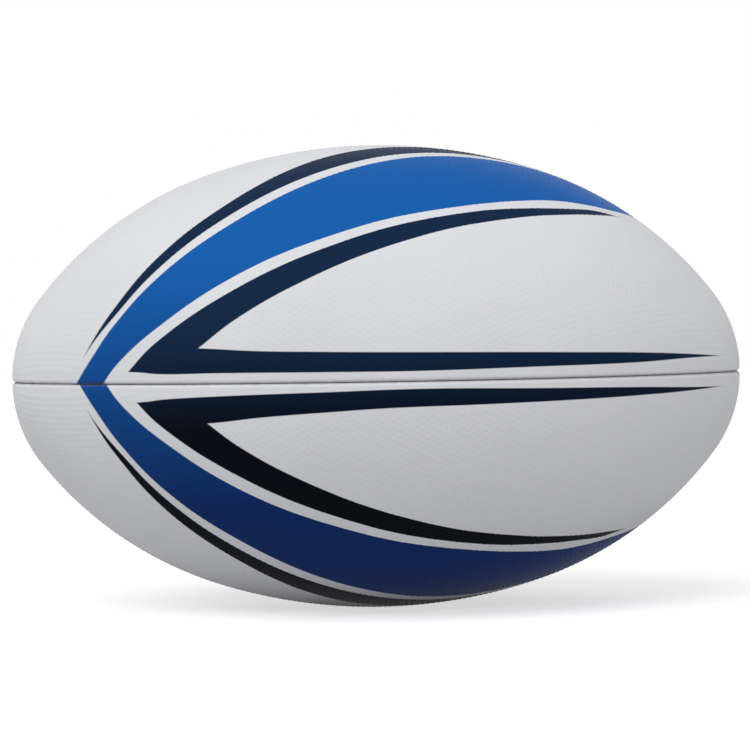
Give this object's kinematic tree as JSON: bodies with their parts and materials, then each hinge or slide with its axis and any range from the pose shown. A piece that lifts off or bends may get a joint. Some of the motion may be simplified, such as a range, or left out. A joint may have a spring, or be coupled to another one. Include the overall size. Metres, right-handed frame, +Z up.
{
  "type": "rugby ball",
  "caption": "Oval rugby ball: stitched rubber panels on canvas plies round an air bladder, with a needle valve in one panel.",
  "frame": {"origin": "centre of the ball", "axes": "+X along the ball's long axis, +Z up; the seams face -Y (front), +Z (top), +Y (rear) and -Z (bottom), and the valve is in the top rear panel"},
  "size_m": [0.295, 0.187, 0.187],
  "materials": {
    "cover_rubber": "satin",
    "canvas": "matte",
    "thread": "matte",
    "bladder_rubber": "satin",
    "valve_rubber": "satin",
    "plug_rubber": "satin"
  },
  "bodies": {
    "ball": {"cover_rear_top": "cover_rubber", "cover_front_top": "cover_rubber", "cover_front_bottom": "cover_rubber", "cover_rear_bottom": "cover_rubber", "outer_ply_rear_top": "canvas", "outer_ply_front_top": "canvas", "outer_ply_front_bottom": "canvas", "outer_ply_rear_bottom": "canvas", "middle_ply_rear_top": "canvas", "middle_ply_front_top": "canvas", "middle_ply_front_bottom": "canvas", "middle_ply_rear_bottom": "canvas", "inner_ply_rear_top": "canvas", "inner_ply_front_top": "canvas", "inner_ply_front_bottom": "canvas", "inner_ply_rear_bottom": "canvas", "thread_front_seam": "thread", "thread_top_seam": "thread", "thread_rear_seam": "thread", "thread_bottom_seam": "thread", "bladder": "bladder_rubber", "valve_patch": "canvas", "balance_patch": "bladder_rubber", "valve_housing": "valve_rubber"},
    "plug": {"valve_plug": "plug_rubber"}
  },
  "joints": [
    {"name": "plug_pull", "type": "slide", "parent": "ball", "child": "plug", "axis": [0, 0.9672, 0.2539], "range_m": [0, 0.02]}
  ]
}
